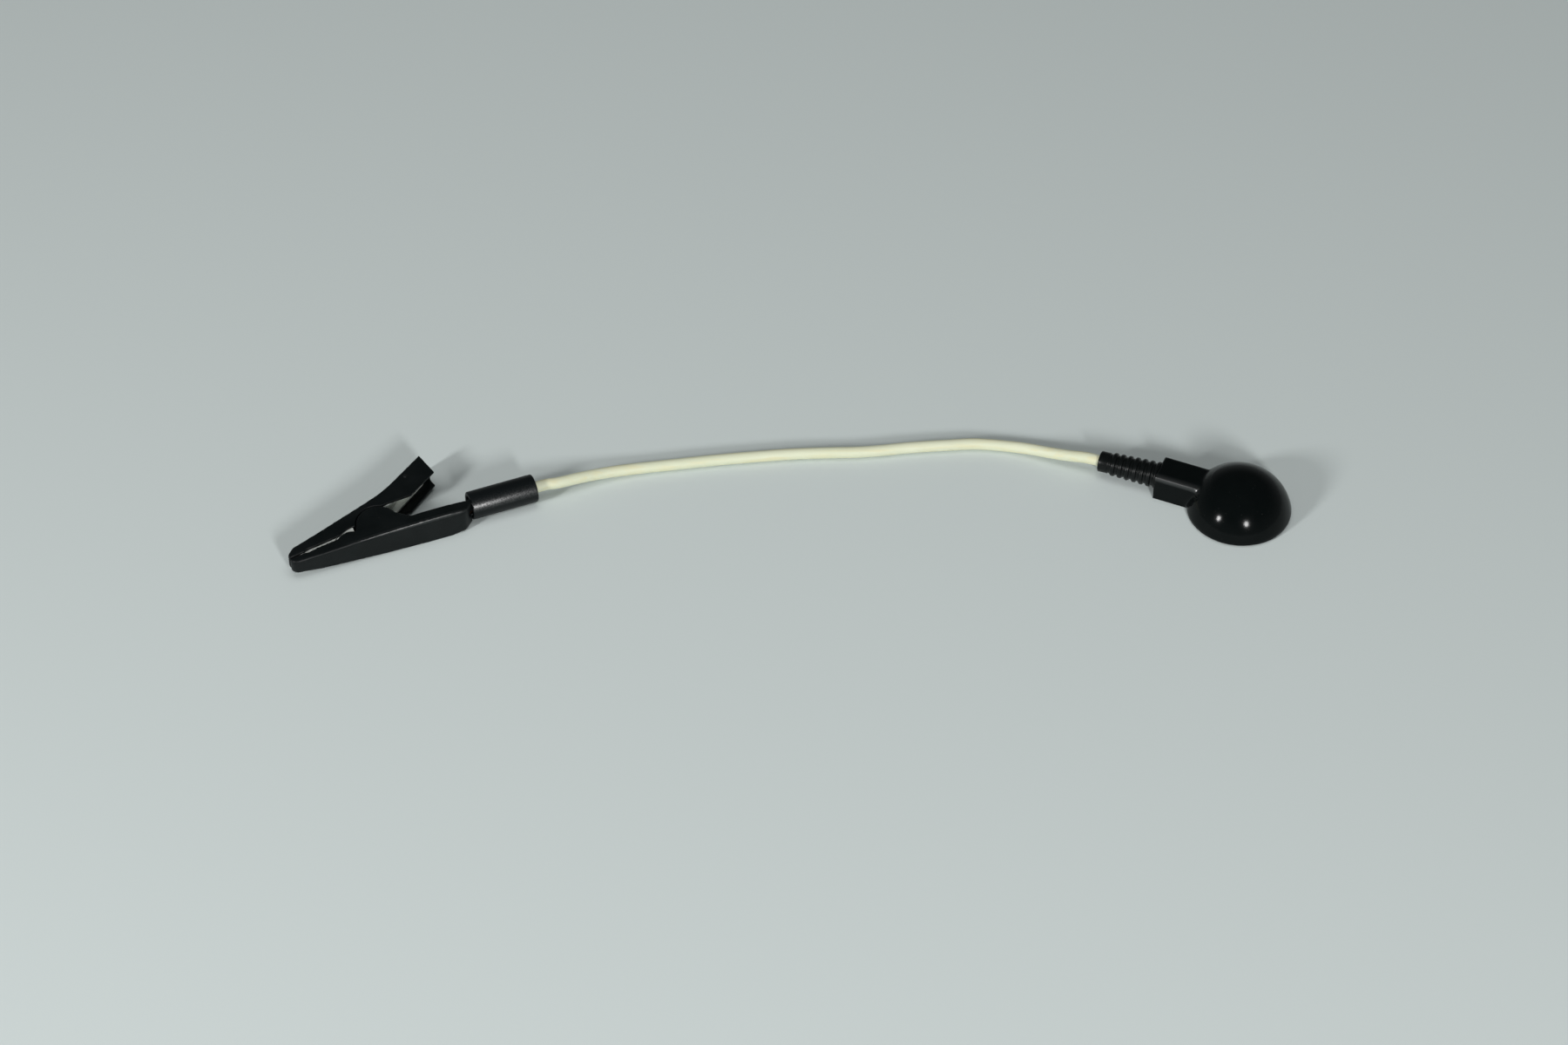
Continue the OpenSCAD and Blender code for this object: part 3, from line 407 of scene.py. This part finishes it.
# ---- Upper jaw shell ----
# The lever: nose, lugs on the pin and a handle with deep thin flanges, in the same black as the lower jaw.
# One small round pip stands on the handle's upper side.

PIP_ACROSS = 0.0008
pip_at = Matrix.Translation((0.008634, 0.009573, 0.00226))

# Its edges run at 0, 14 and 45 degrees to the clip, so the remesh lies 23 degrees off to step on none.
askew = Matrix.Rotation(math.radians(-23), 4, "Z")
upper_jaw = moulded("upper_jaw_shell", clip_place @ askew, grain=0.00011, passes=18)
bmesh.ops.transform(upper_jaw, matrix=askew, verts=upper_jaw.verts)

# The flanges' back edges face away from the near side, and neither level nor straight up or down. Two
# passes more smooth them, the second only far from mid-height.
FLANGE_UP, FACING_BACK, LEVEL, UPRIGHT, BACK_FADE = 0.0015, 0.1, 0.06, 0.99, 1 / 600
eased(upper_jaw, passes=2, depth=lambda vert: min(
    past(abs(vert.co.z), FLANGE_UP, BACK_FADE), past(vert.normal.y, FACING_BACK, BACK_FADE),
    past(abs(vert.normal.z), LEVEL, BACK_FADE), past(-abs(vert.normal.z), -UPRIGHT, BACK_FADE)))
eased(upper_jaw, passes=60, depth=lambda vert: past(-vert.co.x, NOSE_START, NOSE_FADE))
bmesh.ops.create_uvsphere(upper_jaw, u_segments=24, v_segments=12, radius=PIP_ACROSS / 2, matrix=pip_at)
bmesh.ops.transform(upper_jaw, matrix=clip_place, verts=upper_jaw.verts)
finished("upper_jaw", upper_jaw, shell_black, "lever", "black_shell", "upper_jaw_shell")

# ---- Sleeve ----
# A length of soft black PVC tube pushed over the clip's tail and the wire. Its ends are rounded, and its
# matte skin is finely grained.

SLEEVE_START, SLEEVE_ASIDE = 0.0179, -0.0002
sleeve_place = (clip_place @ Matrix.Translation((SLEEVE_START, SLEEVE_ASIDE, 0))
                @ Matrix.Rotation(math.radians(90), 4, "Y"))

# Where the sheen on the near side starts, and where it is full: from the front, from below and from above.
SHEEN_ACROSS, SHEEN_FOOT, SHEEN_TOP = (-0.0006, -0.0016), (0.0004, 0.0012), (0.0027, 0.0019)

sleeve_black = Finish("matte_black_sleeve", Specular_IOR_Level=0.22, Coat_IOR=1.8, Coat_Roughness=0.34)
on_sleeve = sleeve_black.place()
grain = sleeve_black.cloud(on_sleeve, 4200, 3, 0.6)
sleeve_black.feed("Base Color", sleeve_black.blend(
    grain, (0.002, 0.0035, 0.004, 1), (0.005, 0.0065, 0.007, 1)))
sleeve_black.feed("Roughness", grain * 0.15 + 0.36)
sleeve_black.relief(grain, 0.000025)
across, up = sleeve_black.place_on(clip_place)[1:]
sheen = sleeve_black.band(across, *SHEEN_ACROSS) * sleeve_black.band(up, *SHEEN_FOOT)
sheen *= sleeve_black.band(up, *SHEEN_TOP)
sleeve_black.feed("Coat Weight", sheen * (sleeve_black.band(grain, 0.38, 0.62) * 0.8 + 0.2))


def turned(outline, place, steps=128):
    """A turned piece: its outline of (radius, height, rounding) corners in millimetres, spun about Z."""
    bm = bmesh.new()
    corners = [bm.verts.new((radius / 1000, 0, height / 1000)) for radius, height, rounding in outline]
    bm.faces.new(corners)
    for corner, (radius, height, rounding) in zip(corners, outline):
        if rounding:
            bmesh.ops.bevel(bm, geom=[corner], offset=rounding / 1000, affect="VERTICES", segments=5,
                            profile=0.5)
    bmesh.ops.delete(bm, geom=bm.faces[:], context="FACES_ONLY")
    bmesh.ops.spin(bm, geom=bm.verts[:] + bm.edges[:], cent=(0, 0, 0), axis=(0, 0, 1), angle=2 * math.pi,
                   steps=steps, use_merge=True)
    bmesh.ops.remove_doubles(bm, verts=bm.verts, dist=1e-7)
    bmesh.ops.recalc_face_normals(bm, faces=bm.faces)
    bmesh.ops.transform(bm, matrix=place, verts=bm.verts)
    return bm


sleeve = turned([(2.0, 0, 0.15), (2.7, 0, 0.3), (2.7, 13, 0.35), (1.1, 13, 0.2), (1.1, 11.5, 0.1),
                 (2.0, 11.5, 0.2)], sleeve_place)
finished("soft_sleeve", sleeve, sleeve_black, "clip_and_lead", "black_sleeve", "barrel_sleeve")

# ---- Wire ends and conductors ----
# The same wire inside the sleeve and the neck, and its bare copper at the crimp and at the solder joint.

# Painted shade: the copper is nearly black all over, not tarnished, so that its glimpse between the clip's
# tail and the sleeve reads as a dark gap.
copper = Finish("bare_copper", Metallic=1.0)
copper_mottle = copper.cloud(copper.place(), 900, 3)
copper.feed("Base Color", copper.blend(copper_mottle, (0.11, 0.06, 0.04, 1), (0.06, 0.035, 0.025, 1)))
copper.feed("Roughness", copper_mottle * 0.3 + 0.35)
for node in ("clip_wire_end", "snap_wire_end"):
    wear(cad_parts[node], insulation)
for node in ("clip_conductor", "snap_conductor"):
    wear(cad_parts[node], copper)

# ---- Strain relief ----
# A black rubber boot with seven round ribs and a plain collar, moulded onto the wire and held by its anchor
# in the neck. It leans a little to one side.

# The connector's own frame has its origin on the table under the button's middle, and X runs out along the
# neck. The relief's stands on the neck's face, at the height of the wire's axis, and Z runs out along it.
BUTTON_AT, SNAP_TURN, RELIEF_LEAN = (0.0837, 0.0028, 0), math.radians(156.6), math.radians(3.4)
NECK_LONG, NECK_AXIS_UP = 0.016, 0.0028
snap_place = Matrix.Translation(BUTTON_AT) @ Matrix.Rotation(SNAP_TURN, 4, "Z")
relief_place = (snap_place @ Matrix.Translation((NECK_LONG, 0, NECK_AXIS_UP))
                @ Matrix.Rotation(RELIEF_LEAN, 4, "Z") @ Matrix.Rotation(math.radians(90), 4, "Y"))

relief_black = Finish("satin_black_rubber", Specular_IOR_Level=0.22)
on_relief = relief_black.place()
skin = relief_black.cloud(on_relief, 1200, 3)
relief_black.feed("Base Color", relief_black.blend(
    skin, (0.002, 0.003, 0.003, 1), (0.004, 0.005, 0.005, 1)))
relief_black.feed("Roughness", skin * 0.15 + 0.22)
relief_black.relief(skin, 0.00003)

# In millimetres: the boot narrows evenly towards the wire, and each rib stands over its groove.
RIBS, RIBBED, RIB_WIDTH, GROOVE = 7, 9.9, 0.78, 0.4
BOOT_R, BOOT_TAPER, BOOT_LONG, COLLAR_R = 2.6, 0.45, 11.8, 2.0
RIB_PITCH = RIBBED / RIBS
boot = [(1.1, -1.8, 0), (1.9, -1.8, 0.1), (1.9, -0.1, 0)]
for rib in range(RIBS):
    foot = rib * RIB_PITCH
    top = BOOT_R - BOOT_TAPER * foot / BOOT_LONG
    boot += [(top, foot, 0.34), (top - 0.02, foot + RIB_WIDTH, 0.34),
             (top - GROOVE, foot + RIB_WIDTH + 0.1, 0.08),
             (top - GROOVE - 0.03, foot + RIB_PITCH - 0.1, 0.08)]
boot += [(COLLAR_R, RIBBED, 0.25), (COLLAR_R, BOOT_LONG, 0.3), (1.1, BOOT_LONG, 0.1)]
finished("ribbed_boot", turned(boot, relief_place, 96), relief_black, "clip_and_lead", "black_relief",
         "strain_relief")

# ---- Resistor and solder ----
# A small lacquered resistor over the socket. One lead is soldered to the wire's conductor, the other to a
# brass tag on the rivet.

lacquer = Finish("resistor_lacquer")
lacquered = lacquer.cloud(lacquer.place(), 800, 2)
lacquer.feed("Base Color", lacquer.blend(lacquered, (0.62, 0.46, 0.26, 1), (0.52, 0.37, 0.2, 1)))
lacquer.feed("Roughness", lacquered * 0.1 + 0.3)
wear(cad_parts["resistor_body"], lacquer)
tin = Finish("tinned_metal", Metallic=1.0)
tinned = tin.cloud(tin.place(), 1500, 3)
tin.feed("Base Color", tin.blend(tinned, (0.66, 0.66, 0.67, 1), (0.5, 0.5, 0.52, 1)))
tin.feed("Roughness", tinned * 0.25 + 0.2)
for node in ("resistor_leads", "solder_joints"):
    wear(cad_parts[node], tin)
brass = Finish("brass_sheet", Metallic=1.0)
rolled = brass.cloud(brass.place(), 900, 3)
brass.feed("Base Color", brass.blend(rolled, (0.75, 0.56, 0.24, 1), (0.6, 0.43, 0.17, 1)))
brass.feed("Roughness", rolled * 0.2 + 0.25)
wear(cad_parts["solder_tag"], brass)

# ---- Press-stud socket ----
# A cup pressed from plated sheet, with a bead that holds the split ring spring. The black ring round it
# closes the button's underside.

socket = turned([
    (6.8, 0.4, 0.1), (6.8, 0.8, 0.1), (5.95, 0.8, 0.1), (5.95, 2.3, 0.3), (5.5, 2.3, 0.15), (5.5, 4.1, 0.4),
    (1.9, 4.1, 0.15), (1.9, 4.4, 0.1), (0.8, 4.4, 0), (0.8, 4.0, 0), (1.5, 4.0, 0.1), (1.5, 3.7, 0.15),
    (5.1, 3.7, 0.3), (5.1, 1.9, 0.1), (5.55, 1.9, 0.2), (5.55, 1.2, 0.2), (5.1, 1.2, 0.1), (5.1, 0.4, 0.2)],
    snap_place)
finished("pressed_socket", socket, plated, "clip_and_lead", "plated_steel", "snap_socket")

RING_R, RING_UP, RING_WIRE, RING_SPLIT = 0.00525, 0.00155, 0.0006, 30
ring = bmesh.new()
ring_start = (Matrix.Rotation(math.radians(RING_SPLIT / 2), 4, "Z")
              @ Matrix.Translation((RING_R, 0, RING_UP)) @ Matrix.Rotation(math.radians(90), 4, "X"))
bmesh.ops.create_circle(ring, segments=16, radius=RING_WIRE / 2, cap_ends=True, matrix=ring_start)
bmesh.ops.spin(ring, geom=ring.verts[:] + ring.edges[:] + ring.faces[:], cent=(0, 0, 0), axis=(0, 0, 1),
               angle=math.radians(360 - RING_SPLIT), steps=96, use_merge=False)
bmesh.ops.recalc_face_normals(ring, faces=ring.faces)
bmesh.ops.transform(ring, matrix=snap_place, verts=ring.verts)
finished("ring_spring", ring, drawn_wire, "clip_and_lead", "spring_steel", "socket_spring")

cover = turned([(6.8, 0.4, 0.1), (8.7, 0.4, 0.15), (8.7, 1.6, 0), (5.95, 1.6, 0.1), (5.95, 0.8, 0),
                (6.8, 0.8, 0)], snap_place)
finished("base_ring", cover, shell_black, "clip_and_lead", "black_cover", "snap_base_cover")

# ---- Button ----
# The glossy black dome with its neck, moulded in one. It is polished, so the dome is drawn back onto its
# true sphere after its edges are rounded.

BUTTON_R, BUTTON_UP, RIM_UP, DOME_WALL = 0.0099, 0.0087, 0.0009, 0.0012
DOME_RISE = BUTTON_UP - RIM_UP
DOME_R = (BUTTON_R ** 2 + DOME_RISE ** 2) / (2 * DOME_RISE)
DOME_Z = BUTTON_UP - DOME_R
NECK_UP, NECK_HALF, FILLET = 0.0055, 0.0034, 0.0014
JUNCTION_PASSES, NECK_PASSES = 48, 24

# Where the light on the neck's near top edge starts, and where it is full.
NECK_ALONG, NECK_ACROSS, NECK_TOP = (0.0068, 0.0078), (0.0020, 0.0026), (0.0042, 0.0048)

gloss_black = Finish("gloss_black_moulding", Specular_IOR_Level=0.12, Coat_IOR=1.8, Coat_Roughness=0.33)
on_dome = gloss_black.place()
polish = gloss_black.cloud(on_dome, 350, 3)
speck = gloss_black.band(gloss_black.cloud(on_dome, 3600, 2), 0.73, 0.79)
dome_skin = gloss_black.blend(polish, (0.0015, 0.0025, 0.0026, 1), (0.003, 0.0042, 0.0042, 1))
gloss_black.feed("Base Color", gloss_black.blend(speck * 0.35, dome_skin, (0.08, 0.08, 0.08, 1)))
gloss_black.feed("Roughness", polish * 0.06 + speck * 0.3 + 0.11)
gloss_black.relief(gloss_black.cloud(on_dome, 700, 2), 0.000006)
along, across, up = gloss_black.place_on(snap_place)
neck_line = gloss_black.band(across, *NECK_ACROSS) * gloss_black.band(up, *NECK_TOP)
gloss_black.feed("Coat Weight", neck_line * gloss_black.band(along, *NECK_ALONG))

# A vertex counts as on a surface down to DEEP under it. The dome is drawn back where it lies within SKIN of
# its sphere, outside or inside, from just under the rim's top and clear of the fillet.
DEEP, SKIN, NECK_EDGE, DOME_FROM = 0.0003, 0.00009, 0.0020, 0.0008

button = moulded("snap_dome_shell", snap_place, grain=0.000145, passes=4)
junction, neck_edges = [], []
for vert in button.verts:
    from_centre = vert.co - Vector((0, 0, DOME_Z))
    off_dome = from_centre.length - DOME_R
    off_neck = max(abs(vert.co.y) - NECK_HALF, vert.co.z - NECK_UP) if vert.co.x > 0 else math.inf
    if min(off_dome, off_neck) > -DEEP and vert.co.z > DEEP:
        if off_dome < FILLET and off_neck < FILLET:
            junction.append(vert)
        elif off_dome >= FILLET and vert.co.z > NECK_UP - NECK_EDGE:
            neck_edges.append(vert)
    if off_neck >= FILLET and vert.co.z > DOME_FROM:
        for wall in (0, DOME_WALL):
            if abs(off_dome + wall) < SKIN:
                vert.co -= from_centre.normalized() * (off_dome + wall)
for turn in range(JUNCTION_PASSES):
    smoothed(button, junction + neck_edges if turn < NECK_PASSES else junction)
bmesh.ops.transform(button, matrix=snap_place, verts=button.verts)
finished("dome_and_neck", button, gloss_black, "clip_and_lead", "black_gloss", "snap_dome_shell")
